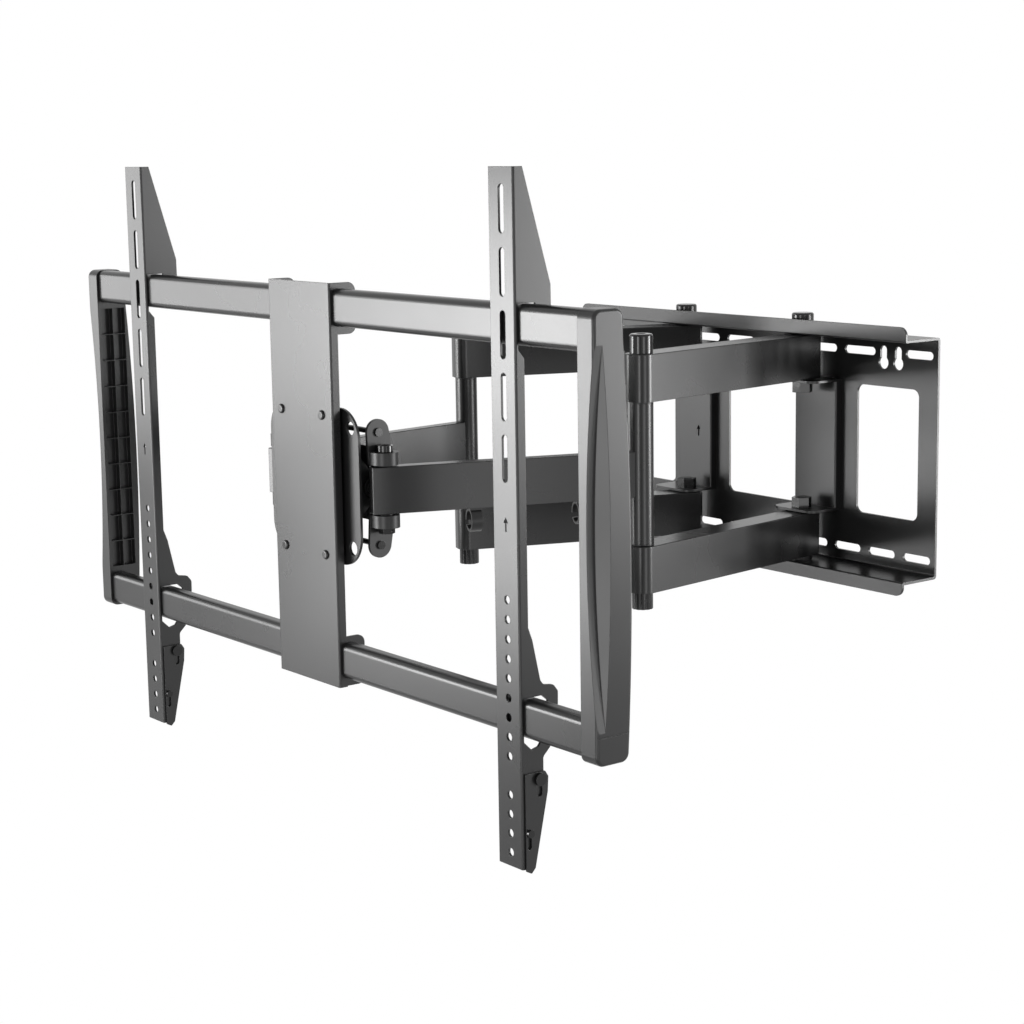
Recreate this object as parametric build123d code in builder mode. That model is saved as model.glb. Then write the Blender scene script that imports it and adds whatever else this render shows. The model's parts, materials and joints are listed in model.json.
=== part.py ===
"""Full motion wall mount for a large television.

A wall plate carries two vertical columns.  Each column holds an upper and a lower wall arm, which fold
sideways.  A forearm hangs between each pair of wall arms and carries the head.  The head tilts and
levels the screen frame: a centre plate on two rails, with end caps and two hooked screen brackets.

Origin: middle of the wall plate's back face.  +X is right as seen from the screen's side,
+Y points into the wall and +Z is up.  Millimetres.
"""
from build123d import *
import math
import os

os.makedirs("parts", exist_ok=True)

# ------------------------------------------------------------------ linkage
ARM_LENGTH = 287.0        # pivot to pivot, in wall arms and forearms alike
PIVOT_HALF = 101.0        # half the distance between the left and the right pivots
WALL_PIVOT_Y = -36.0
HEAD_X = -59.0            # middle of the screen frame
HEAD_PIVOT_Y = -590.0
FACE_Y = -628.0           # plane that the screen's back rests on
CLEAR = 0.35              # gap between faces that slide on each other
RUNNING = 0.05            # radial clearance of a pin in its bush

# ------------------------------------------------------------------ wall plate and columns
SHEET = 3.0
PLATE_HALF = 280.0
PLATE_TOP = 135.0
PLATE_BOTTOM = -140.0
FLANGE_DEPTH = 56.4
LIP_TOP = 149.5
LIP_BOTTOM = -153.0
LIP_RADIUS = 10.0
WINDOW_HEIGHT = 151.0
WINDOW_Z = -1.5
WINDOWS = ((-205.3, 94.5), (0.0, 117.4), (205.3, 94.5))
TOP_SLOT_Z = 113.5
END_SLOT_X = 252.4
SLOT_LENGTH = 41.0
TOP_SLOTS = ((38.7, 46.6), (100.4, 48.1), (161.4, 48.1), (END_SLOT_X, SLOT_LENGTH))
BOTTOM_SLOT_Z = -120.5
BOTTOM_SLOTS = 5
BOTTOM_SLOT_PITCH = 53.75
SLOT_WIDTH = 9.5
KEYHOLES = (198.0, 220.5)
KEYHOLE_Z = 101.5
COLUMNS = {"left": -116.0, "right": 99.2}
COLUMN_WIDTH = 67.0
COLUMN_FACE_Y = -12.5
COLUMN_WALL = 2.5
TAB_TOP = 78.0
TAB_FRONT_Y = -51.0

# ------------------------------------------------------------------ arms
WALL_ARM_WIDTH = 33.5
WALL_ARM_HEIGHT = 52.0
WALL_ARM_LOW = 79.0       # underside of the upper arm, and top of the lower arm below zero
WALL_ARM_END = 15.5       # how far an arm reaches past its pivot
WALL_ARM_NOSE = 12.5      # corner radius at the elbow end
ARM_SHEET = 2.5
FOREARM_HEIGHT = 50.0
FOREARM_WIDTH = 16.0
FOREARM_END = 16.0
FOREARM_SHEET = 2.0
BARREL_RADIUS = 13.0
BARREL_BORE = 10.0
BARREL_HALF = 77.2
PIN_RADIUS = 6.0
BUSH_RADIUS = 8.0
HEAD_PIN_RADIUS = 4.0
HEAD_BUSH_RADIUS = 5.5
CAP_RADIUS = 12.85
CLIP_PLACES = (96.0, 216.0)

# ------------------------------------------------------------------ head, depths behind the face plane
TILT_DEPTH = 36.0
YOKE_DEPTH = 14.0
YOKE_SHEET = 3.0
YOKE_WIDTH = 174.0
YOKE_HEIGHT = 168.0
YOKE_EAR_X = 72.0
CHEEK_X = 76.0
OUTER_EAR_X = 88.0
OUTER_EAR_THICK = 3.5
EAR_ROUND = 13.8
TIE_Z = 60.0
WEB_DEPTH = 50.0
WEB_THICK = 3.5
LUG_LOW = 26.5
LUG_TOP = 40.0
LUG_RADIUS = 14.0
TILT_PIN_RADIUS = 5.0
TIE_RADIUS = 3.0
LEVEL_SCREW_Z = 38.0

# ------------------------------------------------------------------ screen frame
FRAME_SHEET = 2.5
CENTRE_WIDTH = 120.0
CENTRE_HEIGHT = 432.0
CENTRE_FLANGE = 10.0
CENTRE_EAR_DEPTH = 33.0
RAIL_Z = {"top": 190.0, "bottom": -187.0}
RAIL_DEPTH = 20.0
RAIL_HEIGHT = 39.0
RAIL_FRONT = 4.0
RAIL_WALL = 2.0
RAIL_HALF = 477.0
CAP_INNER_X = 465.0
CAP_WIDTH = 23.0
CAP_HALF_HEIGHT = 210.0
CAP_FRONT = 1.0           # depth of the front face behind the brackets' face
CAP_SCOOP_DEPTH = 12.5    # waist of the front face at mid height
CAP_SCOOP_HALF = 178.0
CAP_SCOOP_WALL = 11.0     # depth at which the scoop's wall ends and its slanted facet starts
CAP_SEAM_Z = -182.0
BRACKET_X = {"left": -357.0, "right": 357.0}
BRACKET_WIDTH = 37.3
BRACKET_FLANGE = 10.5
BRACKET_TOP = 335.5
BRACKET_BOTTOM = -336.5
BRACKET_SLOT_TOP = 297.0
BRACKET_SLOT_PITCH = 58.4
BRACKET_SLOT_COUNT = 5
BRACKET_SLOT_LENGTH = 45.6
BRACKET_HOLE_TOP = -72.3
BRACKET_HOLE_PITCH = 19.25
BRACKET_HOLE_COUNT = 14
BRACKET_HOLE_MISSING = 9
BRACKET_HOLE_RADIUS = 4.25
LATCH_SCREW = (20.0, -248.0)
LATCH_GUIDE = (7.0, -300.0)
LATCH_TRAVEL = 14.0

# ------------------------------------------------------------------ angles of the arms
reach = math.hypot(HEAD_X, HEAD_PIVOT_Y - WALL_PIVOT_Y)
half_fold = math.acos(reach / (2 * ARM_LENGTH))
lean = math.atan2(-HEAD_X, WALL_PIVOT_Y - HEAD_PIVOT_Y)
right_angle = half_fold - lean
left_angle = half_fold + lean

SIDES = {"right": 1, "left": -1}
WALL_PIVOT = {name: Vector(sign * PIVOT_HALF, WALL_PIVOT_Y) for name, sign in SIDES.items()}
HEAD_PIVOT = {name: Vector(HEAD_X + sign * PIVOT_HALF, HEAD_PIVOT_Y) for name, sign in SIDES.items()}
right_way = Vector(math.sin(right_angle), -math.cos(right_angle))
left_way = Vector(-math.sin(left_angle), -math.cos(left_angle))
WALL_ARM_WAY = {"right": right_way, "left": left_way}
ELBOW = {name: WALL_PIVOT[name] + WALL_ARM_WAY[name] * ARM_LENGTH for name in SIDES}
FOREARM_WAY = {name: (ELBOW[name] - HEAD_PIVOT[name]).normalized() for name in SIDES}


def save(piece, name):
    """Label one finished piece and write it as its own STEP file."""
    piece.part.label = name
    export_step(piece.part, f"parts/{name}.step")


def wall_front(y=0.0):
    """Plane parallel to the wall: local x is +X, local y is +Z, extrusion runs away from the wall."""
    return Plane(origin=(0, y, 0), x_dir=(1, 0, 0), z_dir=(0, -1, 0))


def tv_front(depth=0.0):
    """The same plane, placed behind the screen's face and centred on the screen frame."""
    return Plane(origin=(HEAD_X, FACE_Y + depth, 0), x_dir=(1, 0, 0), z_dir=(0, -1, 0))


def tv_side(x):
    """Plane across the screen frame: local x is the depth behind the face, local y is +Z."""
    return Plane(origin=(HEAD_X + x, FACE_Y, 0), x_dir=(0, 1, 0), z_dir=(1, 0, 0))


def plan_along(start, way, z):
    """Horizontal plane whose local x runs along an arm from one of its pivots."""
    return Plane(origin=(start.X, start.Y, z), x_dir=(way.X, way.Y, 0), z_dir=(0, 0, 1))


def arrow(x, z, height, mode=Mode.ADD):
    """Up arrow in the current sketch, centred on x and z."""
    stem = height * 0.08
    wing = height * 0.25
    shoulder = z + height * 0.1
    Polygon(
        (x - stem, z - height / 2),
        (x + stem, z - height / 2),
        (x + stem, shoulder),
        (x + wing, shoulder),
        (x, z + height / 2),
        (x - wing, shoulder),
        (x - stem, shoulder),
        align=None,
        mode=mode,
    )


# ================================================================== wall side
# Wall plate: one bent sheet with deep flanges and turned lips.
with BuildPart() as wall_plate:
    with BuildSketch(Plane.YZ.offset(-PLATE_HALF)):
        with BuildLine():
            FilletPolyline(
                (-FLANGE_DEPTH, LIP_BOTTOM),
                (-FLANGE_DEPTH, PLATE_BOTTOM + SHEET),
                (-SHEET, PLATE_BOTTOM + SHEET),
                (-SHEET, PLATE_TOP - SHEET),
                (-FLANGE_DEPTH, PLATE_TOP - SHEET),
                (-FLANGE_DEPTH, LIP_TOP),
                radius=2.0,
            )
            Polyline(
                (-FLANGE_DEPTH, LIP_TOP),
                (SHEET - FLANGE_DEPTH, LIP_TOP),
                (SHEET - FLANGE_DEPTH, PLATE_TOP),
                (0, PLATE_TOP),
                (0, PLATE_BOTTOM),
                (SHEET - FLANGE_DEPTH, PLATE_BOTTOM),
                (SHEET - FLANGE_DEPTH, LIP_BOTTOM),
                (-FLANGE_DEPTH, LIP_BOTTOM),
            )
        make_face()
    extrude(amount=2 * PLATE_HALF)
    back_edges = edges().filter_by(Axis.X).filter_by_position(Axis.Y, -0.1, 0.1)
    fillet(back_edges, radius=4.0)
    lip_corners = edges().filter_by(Axis.Y)
    fillet(lip_corners.group_by(Axis.Z)[-1], radius=LIP_RADIUS)
    fillet(edges().filter_by(Axis.Y).group_by(Axis.Z)[0], radius=LIP_RADIUS)
    with BuildSketch(wall_front()):
        for window_x, window_width in WINDOWS:
            with Locations((window_x, WINDOW_Z)):
                RectangleRounded(window_width, WINDOW_HEIGHT, 9)
        for sign in SIDES.values():
            for slot_x, slot_length in TOP_SLOTS:
                with Locations((sign * slot_x, TOP_SLOT_Z)):
                    SlotOverall(slot_length, SLOT_WIDTH)
            for index in range(BOTTOM_SLOTS):
                with Locations((sign * (END_SLOT_X - index * BOTTOM_SLOT_PITCH), BOTTOM_SLOT_Z)):
                    SlotOverall(SLOT_LENGTH, SLOT_WIDTH)
            for key_x in KEYHOLES:
                with Locations((sign * key_x, KEYHOLE_Z)):
                    Circle(7.5)
                with Locations((sign * key_x, KEYHOLE_Z + 7.5)):
                    SlotOverall(24, 10, rotation=90)
    extrude(amount=SHEET, mode=Mode.SUBTRACT)
    with BuildSketch(Plane.XY.offset(PLATE_BOTTOM)):
        with Locations((-PIVOT_HALF, WALL_PIVOT_Y), (PIVOT_HALF, WALL_PIVOT_Y)):
            Circle(PIN_RADIUS)
    extrude(amount=PLATE_TOP - PLATE_BOTTOM, mode=Mode.SUBTRACT)
save(wall_plate, "wall_plate")

# Columns: channels on the plate's face, with a tab above and below that holds the wall pivots.
for side, column_x in COLUMNS.items():
    with BuildPart() as column:
        with BuildSketch(Plane.XY.offset(-TAB_TOP)):
            with Locations((column_x, (COLUMN_FACE_Y - SHEET) / 2)):
                Rectangle(COLUMN_WIDTH, -SHEET - COLUMN_FACE_Y)
            with Locations((column_x, (COLUMN_FACE_Y + COLUMN_WALL - SHEET) / 2)):
                Rectangle(
                    COLUMN_WIDTH - 2 * COLUMN_WALL,
                    -SHEET - COLUMN_FACE_Y - COLUMN_WALL,
                    mode=Mode.SUBTRACT,
                )
        extrude(amount=2 * TAB_TOP)
        front_edges = edges().filter_by(Axis.Z).group_by(Axis.Y)[0]
        fillet(front_edges, radius=2.0)
        for tab_z in (-TAB_TOP, TAB_TOP - SHEET):
            with BuildSketch(Plane.XY.offset(tab_z)):
                with BuildLine():
                    FilletPolyline(
                        (column_x - COLUMN_WIDTH / 2, -SHEET),
                        (column_x - COLUMN_WIDTH / 2, TAB_FRONT_Y),
                        (column_x + COLUMN_WIDTH / 2, TAB_FRONT_Y),
                        (column_x + COLUMN_WIDTH / 2, -SHEET),
                        radius=12.0,
                    )
                    Line((column_x + COLUMN_WIDTH / 2, -SHEET), (column_x - COLUMN_WIDTH / 2, -SHEET))
                make_face()
                with Locations((SIDES[side] * PIVOT_HALF, WALL_PIVOT_Y)):
                    Circle(PIN_RADIUS, mode=Mode.SUBTRACT)
            extrude(amount=SHEET)
        if side == "left":
            with BuildSketch(wall_front(COLUMN_FACE_Y)):
                arrow(column_x + 11.5, -4.5, 14)
            extrude(amount=-COLUMN_WALL - 0.5, mode=Mode.SUBTRACT)
    save(column, f"wall_column_{side}")

# Pivot bolts through flange, wall arm and tab, with nuts inside the tabs.
NUT_LOW = 62.0
HEAD_TOP = 156.0
with BuildPart() as wall_bolts:
    for sign in SIDES.values():
        for low, high, radius in (
            (PLATE_TOP, HEAD_TOP, CAP_RADIUS),
            (NUT_LOW, PLATE_TOP, PIN_RADIUS),
            (-HEAD_TOP, PLATE_BOTTOM, CAP_RADIUS),
            (PLATE_BOTTOM, -NUT_LOW, PIN_RADIUS),
        ):
            with BuildSketch(Plane.XY.offset(low)):
                with Locations((sign * PIVOT_HALF, WALL_PIVOT_Y)):
                    Circle(radius)
            extrude(amount=high - low)
    head_rims = edges().filter_by(GeomType.CIRCLE)
    fillet(head_rims.group_by(Axis.Z)[-1] + head_rims.group_by(Axis.Z)[0], radius=2.5)
save(wall_bolts, "wall_pivot_bolts")

with BuildPart() as wall_nuts:
    for sign in SIDES.values():
        for low in (NUT_LOW + 0.5, -TAB_TOP + SHEET):
            with BuildSketch(Plane.XY.offset(low)):
                with Locations((sign * PIVOT_HALF, WALL_PIVOT_Y)):
                    RegularPolygon(12.0, 6)
                    Circle(PIN_RADIUS, mode=Mode.SUBTRACT)
            extrude(amount=TAB_TOP - SHEET - NUT_LOW - 0.5)
save(wall_nuts, "wall_pivot_nuts")

with BuildPart() as wall_washers:
    for sign in SIDES.values():
        for low, high in (
            (WALL_ARM_LOW + WALL_ARM_HEIGHT + CLEAR, PLATE_TOP - SHEET),
            (TAB_TOP, WALL_ARM_LOW - CLEAR),
            (-WALL_ARM_LOW + CLEAR, -TAB_TOP),
            (PLATE_BOTTOM + SHEET, -WALL_ARM_LOW - WALL_ARM_HEIGHT - CLEAR),
        ):
            with BuildSketch(Plane.XY.offset(low)):
                with Locations((sign * PIVOT_HALF, WALL_PIVOT_Y)):
                    Circle(CAP_RADIUS)
                    Circle(PIN_RADIUS, mode=Mode.SUBTRACT)
            extrude(amount=high - low)
save(wall_washers, "wall_pivot_washers")

# ================================================================== arms
for side in SIDES:
    pivot = WALL_PIVOT[side]
    way = WALL_ARM_WAY[side]
    elbow = ELBOW[side]
    head = HEAD_PIVOT[side]
    toward_elbow = FOREARM_WAY[side]

    # Wall arms: inverted channels with a pivot tube at each end, one above and one below the forearm.
    for level, low in (("upper", WALL_ARM_LOW), ("lower", -WALL_ARM_LOW - WALL_ARM_HEIGHT)):
        base = plan_along(pivot, way, low)
        with BuildPart() as wall_arm:
            with BuildSketch(base):
                with Locations((ARM_LENGTH / 2, 0)):
                    Rectangle(ARM_LENGTH + 2 * WALL_ARM_END, WALL_ARM_WIDTH)
                fillet(vertices().group_by(Axis.X)[-1], radius=WALL_ARM_NOSE)
                fillet(vertices().group_by(Axis.X)[0], radius=4)
            extrude(amount=WALL_ARM_HEIGHT)
            fillet(edges().group_by(Axis.Z)[-1], radius=1.2)
            with BuildSketch(base):
                with Locations((ARM_LENGTH / 2, 0)):
                    Rectangle(
                        ARM_LENGTH + 2 * (WALL_ARM_END - ARM_SHEET),
                        WALL_ARM_WIDTH - 2 * ARM_SHEET,
                    )
                fillet(vertices().group_by(Axis.X)[-1], radius=WALL_ARM_NOSE - ARM_SHEET)
                fillet(vertices().group_by(Axis.X)[0], radius=2)
            extrude(amount=WALL_ARM_HEIGHT - ARM_SHEET, mode=Mode.SUBTRACT)
            with BuildSketch(base):
                with Locations((0, 0), (ARM_LENGTH, 0)):
                    Circle(12.5)
            extrude(amount=WALL_ARM_HEIGHT - ARM_SHEET)
            with BuildSketch(base):
                Circle(BUSH_RADIUS)
                with Locations((ARM_LENGTH, 0)):
                    Circle(PIN_RADIUS)
            extrude(amount=WALL_ARM_HEIGHT, mode=Mode.SUBTRACT)
        save(wall_arm, f"wall_arm_{side}_{level}")

    # Plain bushes at the wall end of both arms.
    with BuildPart() as arm_bushes:
        for low in (
            WALL_ARM_LOW,
            WALL_ARM_LOW + WALL_ARM_HEIGHT - 20,
            -WALL_ARM_LOW - WALL_ARM_HEIGHT,
            -WALL_ARM_LOW - 20,
        ):
            with BuildSketch(plan_along(pivot, way, low)):
                Circle(BUSH_RADIUS)
                Circle(PIN_RADIUS + RUNNING, mode=Mode.SUBTRACT)
            extrude(amount=20)
    save(arm_bushes, f"wall_arm_{side}_bushes")

    # Elbow pin: a tall socket head on the upper arm and a shank down through both arms.
    with BuildPart() as elbow_pin:
        with BuildSketch(plan_along(elbow, way, WALL_ARM_LOW + WALL_ARM_HEIGHT)):
            Circle(CAP_RADIUS)
        extrude(amount=21)
        fillet(edges().filter_by(GeomType.CIRCLE).group_by(Axis.Z)[-1], radius=2.5)
        with BuildSketch(plan_along(elbow, way, 146)):
            RegularPolygon(6, 6)
        extrude(amount=6, mode=Mode.SUBTRACT)
        with BuildSketch(plan_along(elbow, way, -145)):
            Circle(PIN_RADIUS)
        extrude(amount=145 + WALL_ARM_LOW + WALL_ARM_HEIGHT)
    save(elbow_pin, f"elbow_pin_{side}")

    # Ribbed cap nut under the lower arm.
    with BuildPart() as elbow_nut:
        with BuildSketch(plan_along(elbow, way, -150)):
            Circle(11.6)
            with PolarLocations(12.4, 12):
                Circle(1.6, mode=Mode.SUBTRACT)
        extrude(amount=150 - WALL_ARM_LOW - WALL_ARM_HEIGHT)
        with BuildSketch(plan_along(elbow, way, -145)):
            Circle(PIN_RADIUS)
        extrude(amount=145 - WALL_ARM_LOW - WALL_ARM_HEIGHT, mode=Mode.SUBTRACT)
    save(elbow_nut, f"elbow_nut_{side}")

    # Forearm: inverted channel from the head pivot to the barrel.
    base = plan_along(head, toward_elbow, -FOREARM_HEIGHT / 2)
    with BuildPart() as forearm:
        with BuildSketch(base):
            with Locations(((ARM_LENGTH - FOREARM_END) / 2, 0)):
                RectangleRounded(ARM_LENGTH + FOREARM_END, FOREARM_WIDTH, 1.5)
        extrude(amount=FOREARM_HEIGHT)
        fillet(edges().group_by(Axis.Z)[-1], radius=1.0)
        cavity = ARM_LENGTH - BARREL_RADIUS + FOREARM_END - 2 * FOREARM_SHEET
        with BuildSketch(base):
            with Locations((cavity / 2 + FOREARM_SHEET - FOREARM_END, 0)):
                Rectangle(cavity, FOREARM_WIDTH - 2 * FOREARM_SHEET)
        extrude(amount=FOREARM_HEIGHT - FOREARM_SHEET, mode=Mode.SUBTRACT)
        with BuildSketch(base):
            Circle(7)
        extrude(amount=FOREARM_HEIGHT - FOREARM_SHEET)
        with BuildSketch(base):
            Circle(HEAD_BUSH_RADIUS)
            with Locations((ARM_LENGTH, 0)):
                Circle(BARREL_RADIUS)
            with Locations((ARM_LENGTH + BARREL_RADIUS / 2, 0)):
                Rectangle(BARREL_RADIUS, FOREARM_WIDTH)
        extrude(amount=FOREARM_HEIGHT, mode=Mode.SUBTRACT)
    save(forearm, f"forearm_{side}")

    # Barrel: the tube that fills the space between the two wall arms.
    with BuildPart() as barrel:
        with BuildSketch(plan_along(elbow, way, -BARREL_HALF)):
            Circle(BARREL_RADIUS)
            Circle(BARREL_BORE, mode=Mode.SUBTRACT)
        extrude(amount=2 * BARREL_HALF)
    save(barrel, f"elbow_barrel_{side}")

    # Flanged bushes in both ends of the barrel.
    with BuildPart() as elbow_bushes:
        for low, high, radius in (
            (BARREL_HALF - 20, BARREL_HALF, BARREL_BORE),
            (BARREL_HALF, WALL_ARM_LOW - CLEAR, BARREL_RADIUS),
            (-BARREL_HALF, 20 - BARREL_HALF, BARREL_BORE),
            (CLEAR - WALL_ARM_LOW, -BARREL_HALF, BARREL_RADIUS),
        ):
            with BuildSketch(plan_along(elbow, way, low)):
                Circle(radius)
                Circle(PIN_RADIUS + RUNNING, mode=Mode.SUBTRACT)
            extrude(amount=high - low)
    save(elbow_bushes, f"elbow_bushes_{side}")

    # Bushes of the head pivot.  The left one is loose, because it closes the loop of the linkage.
    head_play = RUNNING if side == "right" else 0.5
    with BuildPart() as head_bushes:
        for low in (-FOREARM_HEIGHT / 2, FOREARM_HEIGHT / 2 - 15):
            with BuildSketch(plan_along(head, toward_elbow, low)):
                Circle(HEAD_BUSH_RADIUS)
                Circle(HEAD_PIN_RADIUS + head_play, mode=Mode.SUBTRACT)
            extrude(amount=15)
    save(head_bushes, f"head_bushes_{side}")

    # Cable clips: open rings that snap into the forearm's open underside.
    with BuildPart() as clips:
        for place in CLIP_PLACES:
            middle = head + toward_elbow * (place - 6)
            across = Plane(
                origin=(middle.X, middle.Y, -38.5),
                x_dir=(-toward_elbow.Y, toward_elbow.X, 0),
                z_dir=(toward_elbow.X, toward_elbow.Y, 0),
            )
            with BuildSketch(across):
                Circle(12.5)
                Circle(10, mode=Mode.SUBTRACT)
                with Locations((9, -4)):
                    Rectangle(10, 5, mode=Mode.SUBTRACT)
                with Locations((0, 17.5)):
                    Rectangle(FOREARM_WIDTH - 2 * FOREARM_SHEET - 0.2, 13)
            extrude(amount=12)
    save(clips, f"cable_clips_{side}")

# ================================================================== head
# Swivel bracket: web, four fish-shaped ears, four pivot lugs and two inner cheeks for the tilt pins.
with BuildPart() as swivel_bracket:
    with BuildSketch(tv_front(WEB_DEPTH)):
        RectangleRounded(2 * 84, 80, 6)
        for band_z in ((LUG_LOW + LUG_TOP) / 2, -(LUG_LOW + LUG_TOP) / 2):
            with Locations((0, band_z)):
                Rectangle(2 * (OUTER_EAR_X + OUTER_EAR_THICK), LUG_TOP - LUG_LOW)
    extrude(amount=-WEB_THICK)
    for ear_x in (OUTER_EAR_X, -OUTER_EAR_X - OUTER_EAR_THICK):
        for sign in (1, -1):
            with BuildSketch(tv_side(ear_x)):
                with Locations((TILT_DEPTH, sign * TIE_Z)):
                    Circle(EAR_ROUND)
                with Locations(((24 + WEB_DEPTH + WEB_THICK) / 2, sign * (LUG_LOW + LUG_TOP) / 2)):
                    Rectangle(WEB_DEPTH + WEB_THICK - 24, LUG_TOP - LUG_LOW)
                make_hull()
                with Locations((TILT_DEPTH, sign * TIE_Z)):
                    Circle(TIE_RADIUS, mode=Mode.SUBTRACT)
            extrude(amount=OUTER_EAR_THICK)
    for sign in (1, -1):
        for low in (LUG_LOW, -LUG_TOP):
            with BuildSketch(Plane.XY.offset(low)):
                with Locations((HEAD_X + sign * PIVOT_HALF, HEAD_PIVOT_Y)):
                    Circle(LUG_RADIUS)
                with Locations((HEAD_X + sign * (PIVOT_HALF + OUTER_EAR_X) / 2, HEAD_PIVOT_Y)):
                    Rectangle(PIVOT_HALF - OUTER_EAR_X, 2 * LUG_RADIUS)
                with Locations((HEAD_X + sign * (OUTER_EAR_X - 10), HEAD_PIVOT_Y)):
                    Rectangle(20, 2 * LUG_RADIUS, mode=Mode.SUBTRACT)
                with Locations((HEAD_X + sign * PIVOT_HALF, HEAD_PIVOT_Y)):
                    Circle(HEAD_PIN_RADIUS, mode=Mode.SUBTRACT)
            extrude(amount=LUG_TOP - LUG_LOW)
    for cheek_x in (CHEEK_X, -CHEEK_X - YOKE_SHEET):
        with BuildSketch(tv_side(cheek_x)):
            with Locations((TILT_DEPTH, 0)):
                Circle(10)
            with Locations((WEB_DEPTH - 2, 0)):
                Rectangle(4, 40)
            make_hull()
            with Locations((TILT_DEPTH, 0)):
                Circle(TILT_PIN_RADIUS, mode=Mode.SUBTRACT)
        extrude(amount=YOKE_SHEET)
save(swivel_bracket, "swivel_bracket")

# Tie bars: join the round ends of the ears across the head.
with BuildPart() as tie_bars:
    for sign in (1, -1):
        tie_end = OUTER_EAR_X + OUTER_EAR_THICK
        with BuildSketch(tv_side(-tie_end)):
            with Locations((TILT_DEPTH, sign * TIE_Z)):
                Circle(TIE_RADIUS)
        extrude(amount=2 * tie_end)
        for low in (-tie_end - 2.2, tie_end):
            with BuildSketch(tv_side(low)):
                with Locations((TILT_DEPTH, sign * TIE_Z)):
                    Circle(4.6)
            extrude(amount=2.2)
save(tie_bars, "tilt_tie_bars")

# Head pivot bolts, nuts and washers.
with BuildPart() as head_bolts:
    for sign in (1, -1):
        for low, high, radius in ((-46.5, LUG_TOP, HEAD_PIN_RADIUS), (LUG_TOP, 47.0, 8.5)):
            with BuildSketch(Plane.XY.offset(low)):
                with Locations((HEAD_X + sign * PIVOT_HALF, HEAD_PIVOT_Y)):
                    Circle(radius)
            extrude(amount=high - low)
        with BuildSketch(Plane.XY.offset(43)):
            with Locations((HEAD_X + sign * PIVOT_HALF, HEAD_PIVOT_Y)):
                RegularPolygon(4.5, 6)
        extrude(amount=4, mode=Mode.SUBTRACT)
save(head_bolts, "head_pivot_bolts")

with BuildPart() as head_nuts:
    for sign in (1, -1):
        with BuildSketch(Plane.XY.offset(-46.5)):
            with Locations((HEAD_X + sign * PIVOT_HALF, HEAD_PIVOT_Y)):
                RegularPolygon(8.5, 6)
                Circle(HEAD_PIN_RADIUS, mode=Mode.SUBTRACT)
        extrude(amount=46.5 - LUG_TOP)
save(head_nuts, "head_pivot_nuts")

with BuildPart() as head_washers:
    for sign in (1, -1):
        for low in (FOREARM_HEIGHT / 2 + CLEAR, -LUG_LOW):
            with BuildSketch(Plane.XY.offset(low)):
                with Locations((HEAD_X + sign * PIVOT_HALF, HEAD_PIVOT_Y)):
                    Circle(7.5)
                    Circle(HEAD_PIN_RADIUS, mode=Mode.SUBTRACT)
            extrude(amount=LUG_LOW - FOREARM_HEIGHT / 2 - CLEAR)
save(head_washers, "head_pivot_washers")

# Tilt pins: one in each inner cheek, reaching through the yoke's ear.
with BuildPart() as tilt_pins:
    for sign in (1, -1):
        inner = YOKE_EAR_X - 4 if sign > 0 else -CHEEK_X - YOKE_SHEET
        with BuildSketch(tv_side(inner)):
            with Locations((TILT_DEPTH, 0)):
                Circle(TILT_PIN_RADIUS)
        extrude(amount=CHEEK_X + YOKE_SHEET - YOKE_EAR_X + 4)
        for low in (CHEEK_X + YOKE_SHEET, YOKE_EAR_X - CLEAR - 2.5):
            with BuildSketch(tv_side(low if sign > 0 else -low - 2.5)):
                with Locations((TILT_DEPTH, 0)):
                    Circle(8)
            extrude(amount=2.5)
save(tilt_pins, "tilt_pins")

# Tilt yoke: rounded plate with two ears that swing on the tilt pins.
with BuildPart() as tilt_yoke:
    with BuildSketch(tv_front(YOKE_DEPTH)):
        RectangleRounded(YOKE_WIDTH, YOKE_HEIGHT, 34)
        with GridLocations(144, 128, 2, 2):
            Circle(7.5, mode=Mode.SUBTRACT)
        Circle(6.5, mode=Mode.SUBTRACT)
        with Locations((0, LEVEL_SCREW_Z), (0, -LEVEL_SCREW_Z)):
            SlotCenterToCenter(8, 8, mode=Mode.SUBTRACT)
    extrude(amount=-YOKE_SHEET)
    for ear_x in (YOKE_EAR_X, -YOKE_EAR_X - YOKE_SHEET):
        with BuildSketch(tv_side(ear_x)):
            with Locations((TILT_DEPTH, 0)):
                Circle(10.5)
            with Locations((YOKE_DEPTH + YOKE_SHEET - 1, 0)):
                Rectangle(2, 84)
            make_hull()
            with Locations((TILT_DEPTH, 0)):
                Circle(TILT_PIN_RADIUS + RUNNING, mode=Mode.SUBTRACT)
        extrude(amount=YOKE_SHEET)
save(tilt_yoke, "tilt_yoke")

# Level hub: disc and stud on the screen's side, which turns in the yoke.
HUB_PLATE_DEPTH = FRAME_SHEET + 3.0
with BuildPart() as hub_plate:
    with BuildSketch(tv_front(FRAME_SHEET)):
        with Locations((0, 1.7)):
            RectangleRounded(106, 176, 8)
    extrude(amount=-3.0)
    with BuildSketch(tv_front(HUB_PLATE_DEPTH)):
        Circle(25)
    extrude(amount=HUB_PLATE_DEPTH + CLEAR - YOKE_DEPTH)
    with BuildSketch(tv_front(YOKE_DEPTH - CLEAR)):
        Circle(6)
    extrude(amount=-13.0)
    with BuildSketch(tv_front(FRAME_SHEET)):
        with Locations((40, 76.7), (-40, 76.7), (40, -73.3), (-40, -73.3)):
            Circle(3)
        with Locations((0, LEVEL_SCREW_Z), (0, -LEVEL_SCREW_Z)):
            Circle(3)
    extrude(amount=-3.0, mode=Mode.SUBTRACT)
save(hub_plate, "level_hub")

with BuildPart() as level_nut:
    with BuildSketch(tv_front(YOKE_DEPTH + YOKE_SHEET + CLEAR)):
        RegularPolygon(12, 6)
        Circle(6, mode=Mode.SUBTRACT)
    extrude(amount=-8.0)
save(level_nut, "level_nut")

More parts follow.
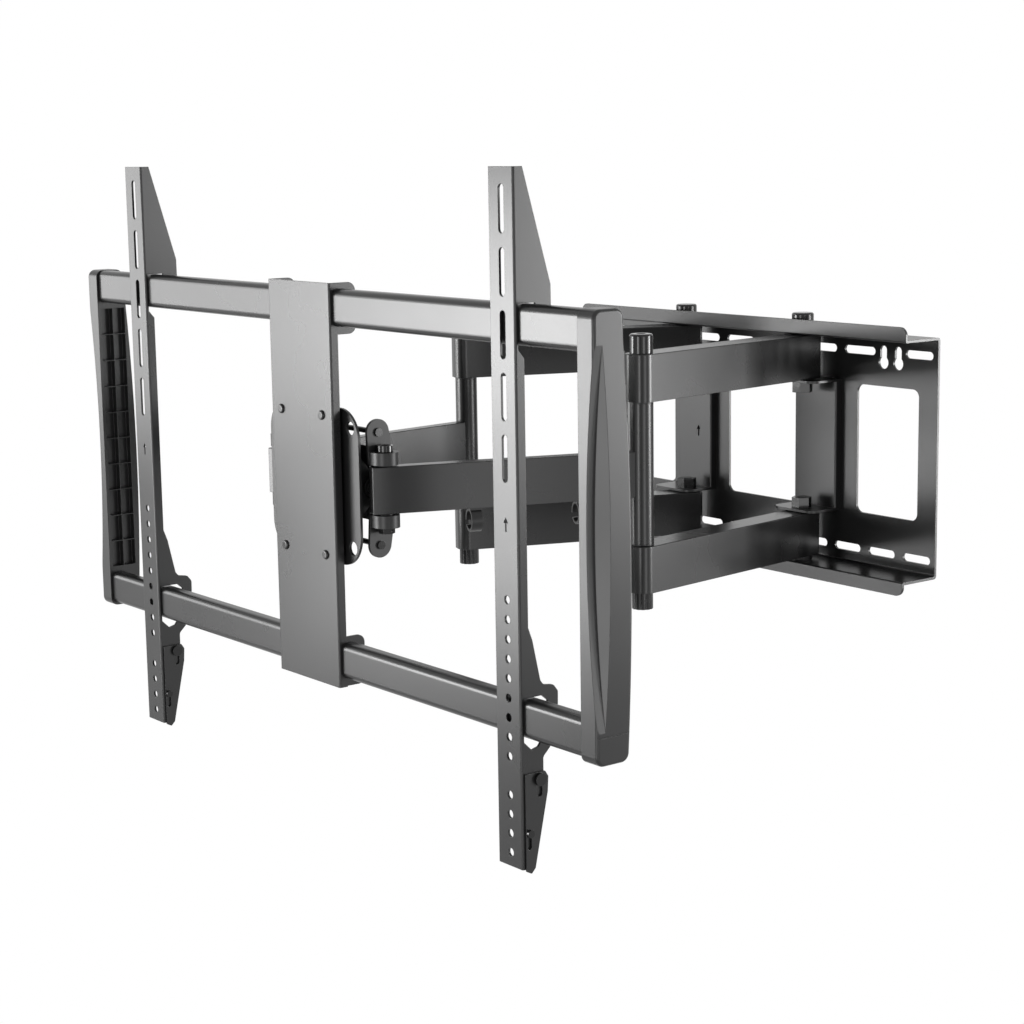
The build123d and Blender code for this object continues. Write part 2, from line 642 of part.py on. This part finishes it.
with BuildPart() as level_screws:
    for sign in (1, -1):
        with BuildSketch(tv_front(FRAME_SHEET)):
            with Locations((0, sign * LEVEL_SCREW_Z)):
                Circle(3)
        extrude(amount=FRAME_SHEET - YOKE_DEPTH - YOKE_SHEET - CLEAR)
        with BuildSketch(tv_front(YOKE_DEPTH + YOKE_SHEET + CLEAR)):
            with Locations((0, sign * LEVEL_SCREW_Z)):
                Circle(8)
        extrude(amount=-4.0)
save(level_screws, "level_screws")

# ================================================================== screen frame
# Centre plate: folded sheet with side flanges, and ears that the rails pass through.
with BuildPart() as centre_plate:
    with BuildSketch(tv_front()):
        Rectangle(CENTRE_WIDTH, CENTRE_HEIGHT)
        with Locations((40, 76.7), (-40, 76.7), (40, -73.3), (-40, -73.3)):
            Circle(3, mode=Mode.SUBTRACT)
    extrude(amount=-FRAME_SHEET)
    for flange_x in (CENTRE_WIDTH / 2 - FRAME_SHEET, -CENTRE_WIDTH / 2):
        with BuildSketch(tv_side(flange_x)):
            with Locations((CENTRE_FLANGE / 2, 0)):
                Rectangle(CENTRE_FLANGE, CENTRE_HEIGHT)
            for rail_z in RAIL_Z.values():
                with BuildLine():
                    FilletPolyline(
                        (0, rail_z - 28),
                        (CENTRE_EAR_DEPTH, rail_z - 28),
                        (CENTRE_EAR_DEPTH, rail_z + 26),
                        (0, rail_z + 26),
                        radius=9,
                    )
                    Line((0, rail_z + 26), (0, rail_z - 28))
                make_face()
            for rail_z in RAIL_Z.values():
                with Locations((RAIL_FRONT + RAIL_DEPTH / 2, rail_z)):
                    RectangleRounded(RAIL_DEPTH, RAIL_HEIGHT, 7, mode=Mode.SUBTRACT)
        extrude(amount=FRAME_SHEET)
    fillet(edges().filter_by(Axis.Z).group_by(Axis.Y)[0], radius=2.0)
save(centre_plate, "centre_plate")

with BuildPart() as rivets:
    for rivet_x in (40, -40):
        for rivet_z in (76.7, -73.3):
            for start, depth, radius in ((-2.4, 2.4, 5.2), (0, 5.5, 3.0), (5.5, 2.0, 4.6)):
                with BuildSketch(tv_front(start)):
                    with Locations((rivet_x, rivet_z)):
                        Circle(radius)
                extrude(amount=-depth)
    fillet(edges().filter_by(GeomType.CIRCLE).group_by(Axis.Y)[0], radius=2.0)
save(rivets, "centre_rivets")

# Rails: rounded rectangular tubes.
for name, rail_z in RAIL_Z.items():
    with BuildPart() as rail:
        with BuildSketch(tv_side(-RAIL_HALF)):
            with Locations((RAIL_FRONT + RAIL_DEPTH / 2, rail_z)):
                RectangleRounded(RAIL_DEPTH, RAIL_HEIGHT, 7)
                RectangleRounded(
                    RAIL_DEPTH - 2 * RAIL_WALL,
                    RAIL_HEIGHT - 2 * RAIL_WALL,
                    5,
                    mode=Mode.SUBTRACT,
                )
        extrude(amount=2 * RAIL_HALF)
    save(rail, f"rail_{name}")

# End caps: moulded covers with a ribbed inner side and a long scoop on the outer front corner.
for side, sign in SIDES.items():
    inner_face = tv_side(sign * CAP_INNER_X)
    outer_x = sign * (CAP_INNER_X + CAP_WIDTH)
    with BuildPart() as end_cap:
        with BuildSketch(inner_face):
            with BuildLine():
                Line((CAP_FRONT, -CAP_HALF_HEIGHT), (CAP_FRONT, CAP_HALF_HEIGHT))
                Line((CAP_FRONT, CAP_HALF_HEIGHT), (36, CAP_HALF_HEIGHT))
                ThreePointArc((36, CAP_HALF_HEIGHT), (45.5, -20), (40, -CAP_HALF_HEIGHT))
                Line((40, -CAP_HALF_HEIGHT), (CAP_FRONT, -CAP_HALF_HEIGHT))
            make_face()
            fillet(vertices(), radius=9)
        extrude(amount=sign * CAP_WIDTH)
        outer = faces().sort_by(Axis.X)[-1 if sign > 0 else 0]
        fillet(outer.edges(), radius=3)
        # scoop: a wall that waists the front face, and a facet that runs out to the side face
        for direction, length in (
            ((0, -1, 0), CAP_SCOOP_WALL + 2),
            ((sign * 0.84, 0.54, 0), 40.0),
        ):
            with BuildSketch(tv_front(CAP_SCOOP_WALL)):
                with BuildLine():
                    ThreePointArc(
                        (outer_x, CAP_SCOOP_HALF),
                        (outer_x - sign * CAP_SCOOP_DEPTH, 0),
                        (outer_x, -CAP_SCOOP_HALF),
                    )
                    Polyline(
                        (outer_x, -CAP_SCOOP_HALF),
                        (outer_x + sign, -CAP_SCOOP_HALF),
                        (outer_x + sign, CAP_SCOOP_HALF),
                        (outer_x, CAP_SCOOP_HALF),
                    )
                make_face()
            extrude(amount=length, dir=direction, mode=Mode.SUBTRACT)
        # parting line near the foot of the side face
        with BuildSketch(tv_side(outer_x - sign * 0.7)):
            with Locations((24, CAP_SEAM_Z)):
                Rectangle(60, 1.2)
        extrude(amount=sign * 2, mode=Mode.SUBTRACT)
        with BuildSketch(inner_face):
            for rail_z in RAIL_Z.values():
                with Locations((RAIL_FRONT + RAIL_DEPTH / 2, rail_z)):
                    RectangleRounded(RAIL_DEPTH, RAIL_HEIGHT, 7)
        extrude(amount=sign * (RAIL_HALF - CAP_INNER_X), mode=Mode.SUBTRACT)
        with BuildSketch(inner_face):
            with Locations((21, 1)):
                with GridLocations(16.5, 32.4, 2, 10):
                    RectangleRounded(15.5, 31.4, 1.0)
        extrude(amount=sign * 9, mode=Mode.SUBTRACT)
    save(end_cap, f"end_cap_{side}")

# Screen brackets: slotted strips with a hooked flange, a sliding safety latch and its screws.
for side, bracket_x in BRACKET_X.items():
    flange_x = bracket_x + BRACKET_WIDTH / 2 - FRAME_SHEET
    top_rail_top = RAIL_Z["top"] + RAIL_HEIGHT / 2
    low_rail_top = RAIL_Z["bottom"] + RAIL_HEIGHT / 2
    low_rail_bottom = RAIL_Z["bottom"] - RAIL_HEIGHT / 2
    rail_back = RAIL_FRONT + RAIL_DEPTH
    with BuildPart() as bracket:
        with BuildSketch(tv_front()):
            with Locations((bracket_x, (BRACKET_TOP + BRACKET_BOTTOM) / 2)):
                Rectangle(BRACKET_WIDTH, BRACKET_TOP - BRACKET_BOTTOM)
            for index in range(BRACKET_SLOT_COUNT):
                with Locations((bracket_x, BRACKET_SLOT_TOP - index * BRACKET_SLOT_PITCH)):
                    SlotOverall(BRACKET_SLOT_LENGTH, 2 * BRACKET_HOLE_RADIUS, rotation=90, mode=Mode.SUBTRACT)
            for index in range(BRACKET_HOLE_COUNT):
                if index != BRACKET_HOLE_MISSING:
                    with Locations((bracket_x, BRACKET_HOLE_TOP - index * BRACKET_HOLE_PITCH)):
                        Circle(BRACKET_HOLE_RADIUS, mode=Mode.SUBTRACT)
            arrow(bracket_x, 0.5, 14, Mode.SUBTRACT)
        extrude(amount=-FRAME_SHEET)
        with BuildSketch(tv_side(flange_x)):
            with BuildLine():
                Polyline(
                    (0, BRACKET_TOP),
                    (11, BRACKET_TOP),
                    (42.8, 226),
                    (43, top_rail_top - 4),
                    (rail_back + CLEAR, top_rail_top - 4),
                    (rail_back + CLEAR, top_rail_top + CLEAR),
                    (RAIL_FRONT - CLEAR, top_rail_top + CLEAR),
                    (RAIL_FRONT - CLEAR, top_rail_top - RAIL_HEIGHT - 4),
                    (BRACKET_FLANGE, top_rail_top - RAIL_HEIGHT - 12),
                    (BRACKET_FLANGE, -98),
                    (15.4, -111),
                    (24.4, -151.5),
                    (28, -156),
                    (40.3, -158),
                    (45.8, -165),
                    (45.6, -179),
                    (39, -188),
                    (38, -212),
                    (35.6, -219),
                    (26.8, -227.5),
                    (26.7, -258),
                    (BRACKET_FLANGE, -300),
                    (BRACKET_FLANGE, -330),
                    (7, BRACKET_BOTTOM),
                    (0, BRACKET_BOTTOM),
                    close=True,
                )
            make_face()
            hook = vertices().filter_by_position(Axis.X, 20, 50).filter_by_position(Axis.Y, -265, -150)
            fillet(hook, radius=5)
            with BuildLine():
                FilletPolyline(
                    (RAIL_FRONT - CLEAR, low_rail_bottom - 3),
                    (RAIL_FRONT - CLEAR, low_rail_top + 1),
                    (rail_back + 2, low_rail_top + 1),
                    (33, low_rail_top - 5),
                    (33, low_rail_bottom + 6),
                    (rail_back - 3, low_rail_bottom - 10),
                    (RAIL_FRONT + 9, low_rail_bottom - 12),
                    (RAIL_FRONT - CLEAR, low_rail_bottom - 3),
                    radius=1.5,
                )
            make_face(mode=Mode.SUBTRACT)
            with Locations(LATCH_SCREW):
                Circle(3, mode=Mode.SUBTRACT)
            with Locations(LATCH_GUIDE):
                Circle(2, mode=Mode.SUBTRACT)
        extrude(amount=FRAME_SHEET)
        fillet(edges().filter_by(Axis.Z).group_by(Axis.Y)[0].sort_by(Axis.X)[-1], radius=2.0)
    save(bracket, f"bracket_{side}")

    latch_x = flange_x + FRAME_SHEET + CLEAR
    with BuildPart() as latch:
        with BuildSketch(tv_side(latch_x)):
            with BuildLine():
                FilletPolyline(
                    (3, -241),
                    (27, -241),
                    (30.8, -247),
                    (29.9, -262),
                    (13.8, -336),
                    (9, -341),
                    (3, -338),
                    (3, -241),
                    radius=1.2,
                )
            make_face()
            with Locations((LATCH_SCREW[0], LATCH_SCREW[1] - LATCH_TRAVEL / 2)):
                SlotCenterToCenter(LATCH_TRAVEL, 7, rotation=90, mode=Mode.SUBTRACT)
            with Locations((LATCH_GUIDE[0], LATCH_GUIDE[1] - LATCH_TRAVEL / 2)):
                SlotCenterToCenter(LATCH_TRAVEL, 5, rotation=90, mode=Mode.SUBTRACT)
        extrude(amount=2.0)
    save(latch, f"latch_{side}")

    with BuildPart() as latch_screws:
        for centre, shank, head_radius in (
            (LATCH_SCREW, 3.0, 6.5),
            (LATCH_GUIDE, 2.0, 4.0),
        ):
            with BuildSketch(tv_side(flange_x)):
                with Locations(centre):
                    Circle(shank)
            extrude(amount=FRAME_SHEET + 2 * CLEAR + 2.0)
            with BuildSketch(tv_side(latch_x + 2.0 + CLEAR)):
                with Locations(centre):
                    Circle(head_radius)
            extrude(amount=3.0)
    save(latch_screws, f"latch_screws_{side}")
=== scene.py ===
"""Looks of the full motion television wall mount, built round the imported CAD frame.  Metres."""

import json
import math

import bpy
from mathutils import Matrix, Vector


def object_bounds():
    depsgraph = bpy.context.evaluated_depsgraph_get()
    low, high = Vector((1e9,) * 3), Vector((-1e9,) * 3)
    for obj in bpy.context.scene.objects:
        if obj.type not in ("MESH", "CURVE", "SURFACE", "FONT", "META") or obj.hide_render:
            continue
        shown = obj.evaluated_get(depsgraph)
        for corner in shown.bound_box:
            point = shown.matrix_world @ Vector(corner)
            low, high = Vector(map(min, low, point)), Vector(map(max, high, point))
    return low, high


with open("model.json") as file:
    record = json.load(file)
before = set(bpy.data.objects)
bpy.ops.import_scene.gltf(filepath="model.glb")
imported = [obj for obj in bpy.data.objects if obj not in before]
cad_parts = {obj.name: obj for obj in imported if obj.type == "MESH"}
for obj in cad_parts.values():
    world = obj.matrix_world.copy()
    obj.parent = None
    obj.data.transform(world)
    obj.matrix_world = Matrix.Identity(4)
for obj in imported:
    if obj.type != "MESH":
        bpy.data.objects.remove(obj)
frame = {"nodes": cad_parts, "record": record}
cad_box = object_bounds()
nodes = frame["nodes"]
MM = 0.001

# ------------------------------------------------------------------ camera and studio
CAMERA_PLACE = Vector((1.9050, -1.8537, 0.3565))
CAMERA_YAW = 52.495
CAMERA_PITCH = 9.659      # downwards
CAMERA_ROLL = -0.8935
CAMERA_LENS = 76.24       # millimetres
SENSOR_WIDTH = 36.0       # millimetres
CLIP_NEAR = 0.05
CLIP_FAR = 60.0
SURROUND_STRENGTH = 1.0

# Soft boxes, all aimed at the middle of the mount: name, place, width, height, watts.
LIGHTS = (
    ("front_strip", (-1.45, -2.20, 0.02), 0.9, 0.46, 29),
    ("front_strip_low", (-1.50, -2.20, -0.45), 0.9, 0.45, 16),
    ("left_fill", (-2.7, -1.9, 0.25), 0.9, 1.1, 18),
    ("near_fill", (1.1, -2.95, -0.35), 0.8, 1.3, 26),
    ("right_strip", (2.1, 1.00, 0.10), 0.35, 0.9, 12),
    ("right_back_strip", (2.1, 1.75, 0.05), 0.35, 1.2, 58),
    ("right_near", (2.4, -0.9, -0.3), 0.7, 1.0, 8),
)


def add_camera():
    """Camera that sees the mount from its front right, slightly from above."""
    data = bpy.data.cameras.new("camera")
    data.lens = CAMERA_LENS
    data.sensor_width = SENSOR_WIDTH
    data.clip_start = CLIP_NEAR
    data.clip_end = CLIP_FAR
    camera = bpy.data.objects.new("camera", data)
    bpy.context.scene.collection.objects.link(camera)
    turn = Matrix.Rotation(math.radians(CAMERA_YAW), 4, "Z")
    lift = Matrix.Rotation(math.radians(90.0 - CAMERA_PITCH), 4, "X")
    roll = Matrix.Rotation(math.radians(CAMERA_ROLL), 4, "Z")
    camera.matrix_world = Matrix.Translation(CAMERA_PLACE) @ turn @ lift @ roll
    bpy.context.scene.camera = camera


def add_light(name, place, aim, width, height, power):
    """Soft box at a place, turned towards a point on the object."""
    data = bpy.data.lights.new(name, "AREA")
    data.shape = "RECTANGLE"
    data.size = width
    data.size_y = height
    data.energy = power
    light = bpy.data.objects.new(name, data)
    bpy.context.scene.collection.objects.link(light)
    light.location = place
    light.rotation_euler = (aim - Vector(place)).to_track_quat("-Z", "Y").to_euler()


def add_studio():
    """White surround and the soft boxes that the mount's faces mirror."""
    low, high = cad_box
    middle = (Vector(low) + Vector(high)) / 2
    for name, place, width, height, power in LIGHTS:
        add_light(name, place, middle, width, height, power)
    world = bpy.data.worlds.new("studio")
    world.use_nodes = True
    background = world.node_tree.nodes["Background"]
    background.inputs["Color"].default_value = (1.0, 1.0, 1.0, 1.0)
    background.inputs["Strength"].default_value = SURROUND_STRENGTH
    bpy.context.scene.world = world
    bpy.context.scene.view_settings.view_transform = "Standard"


# ------------------------------------------------------------------ materials
GRAIN_DETAIL = 3.0
PATCH_SCALE = 9.0
PATCH_DETAIL = 4.0
BEVEL_SAMPLES = 4
BUMP_STRENGTH = 0.10
BUMP_DEPTH = 0.05         # millimetres
EDGE_STARTS = 0.99        # rounded against flat normal, where wear begins
EDGE_FULL = 0.75          # and where it is complete
SHADE_SPREAD = 0.1        # share by which patches are darker or lighter
BLUE_TINT = 0.02
GLOSS_SPREAD = 0.04
SPECULAR = 0.35


def add_noise(tree, place, scale, detail):
    """Noise texture fixed to the object's own coordinates."""
    noise = tree.nodes.new("ShaderNodeTexNoise")
    noise.inputs["Scale"].default_value = scale
    noise.inputs["Detail"].default_value = detail
    tree.links.new(place.outputs["Object"], noise.inputs["Vector"])
    return noise


def grey(shade, gain, tint=0.0):
    """Opaque grey, with a little more blue when tinted."""
    return (shade * gain, shade * gain, shade * (gain + tint), 1.0)


def coat(name, shade, roughness, grain, edge_radius=0.7, edge_gain=1.6):
    """Satin coat: fine bump, uneven gloss, and edges worn lighter.  Edge radius in millimetres."""
    material = bpy.data.materials.new(name)
    material.use_nodes = True
    tree = material.node_tree
    links = tree.links
    shader = tree.nodes["Principled BSDF"]

    place = tree.nodes.new("ShaderNodeTexCoord")
    fine = add_noise(tree, place, grain, GRAIN_DETAIL)
    broad = add_noise(tree, place, PATCH_SCALE, PATCH_DETAIL)

    bevel = tree.nodes.new("ShaderNodeBevel")
    bevel.samples = BEVEL_SAMPLES
    bevel.inputs["Radius"].default_value = edge_radius * MM
    bump = tree.nodes.new("ShaderNodeBump")
    bump.inputs["Strength"].default_value = BUMP_STRENGTH
    bump.inputs["Distance"].default_value = BUMP_DEPTH * MM
    links.new(fine.outputs["Fac"], bump.inputs["Height"])
    links.new(bevel.outputs["Normal"], bump.inputs["Normal"])
    links.new(bump.outputs["Normal"], shader.inputs["Normal"])

    surface = tree.nodes.new("ShaderNodeNewGeometry")
    facing = tree.nodes.new("ShaderNodeVectorMath")
    facing.operation = "DOT_PRODUCT"
    links.new(bevel.outputs["Normal"], facing.inputs[0])
    links.new(surface.outputs["True Normal"], facing.inputs[1])
    edge = tree.nodes.new("ShaderNodeMapRange")
    edge.inputs["From Min"].default_value = EDGE_STARTS
    edge.inputs["From Max"].default_value = EDGE_FULL
    links.new(facing.outputs["Value"], edge.inputs["Value"])
    patchy = tree.nodes.new("ShaderNodeMath")
    patchy.operation = "MULTIPLY"
    links.new(edge.outputs["Result"], patchy.inputs[0])
    links.new(broad.outputs["Fac"], patchy.inputs[1])

    paint = tree.nodes.new("ShaderNodeMix")
    paint.data_type = "RGBA"
    paint.inputs["A"].default_value = grey(shade, 1.0 - SHADE_SPREAD, BLUE_TINT)
    paint.inputs["B"].default_value = grey(shade, 1.0 + SHADE_SPREAD, BLUE_TINT)
    links.new(broad.outputs["Fac"], paint.inputs["Factor"])
    worn = tree.nodes.new("ShaderNodeMix")
    worn.data_type = "RGBA"
    worn.inputs["B"].default_value = grey(shade, edge_gain)
    links.new(patchy.outputs["Value"], worn.inputs["Factor"])
    links.new(paint.outputs["Result"], worn.inputs["A"])
    links.new(worn.outputs["Result"], shader.inputs["Base Color"])

    gloss = tree.nodes.new("ShaderNodeMapRange")
    gloss.inputs["To Min"].default_value = roughness - GLOSS_SPREAD
    gloss.inputs["To Max"].default_value = roughness + GLOSS_SPREAD
    links.new(broad.outputs["Fac"], gloss.inputs["Value"])
    links.new(gloss.outputs["Result"], shader.inputs["Roughness"])
    shader.inputs["Specular IOR Level"].default_value = SPECULAR
    return material


SLOT_LOOK = {
    "frame_coat": coat("frame_powder_coat", 0.007, 0.28, 900),
    "arm_coat": coat("arm_powder_coat", 0.006, 0.27, 900),
    # Painted shade: the wall plate is the same powder coat as the frame, with its colour painted
    # darker for the shadow the frame casts on it.
    "wall_coat": coat("wall_powder_coat_painted_shade", 0.005, 0.30, 900),
    # Painted shade: the swivel head is the same powder coat as the frame, with its colour painted
    # darker to dim the light it catches on its rounded folds.
    "head_coat": coat("head_powder_coat_painted_shade", 0.004, 0.42, 700),
    "fastener_black": coat("fastener_black_oxide", 0.003, 0.18, 1500, 0.5, 2.4),
    "moulded_plastic": coat("cap_moulded_plastic", 0.006, 0.32, 2400, 0.9, 1.2),
    "bearing_plastic": coat("bearing_nylon", 0.004, 0.38, 1200, 0.4, 1.2),
}

# The cable clips are matt and darker than the end caps, whose slot they share.
NODE_LOOK = {
    "cable_clips_left": SLOT_LOOK["bearing_plastic"],
    "cable_clips_right": SLOT_LOOK["bearing_plastic"],
}


def dress_cad_nodes():
    """Give every CAD node the finish of its material slot, or its own."""
    for entry in frame["record"]["subparts"]:
        name = entry["node"]
        look = NODE_LOOK.get(name, SLOT_LOOK[entry["material_slot"]])
        materials = nodes[name].data.materials
        materials.clear()
        materials.append(look)


add_camera()
add_studio()
dress_cad_nodes()
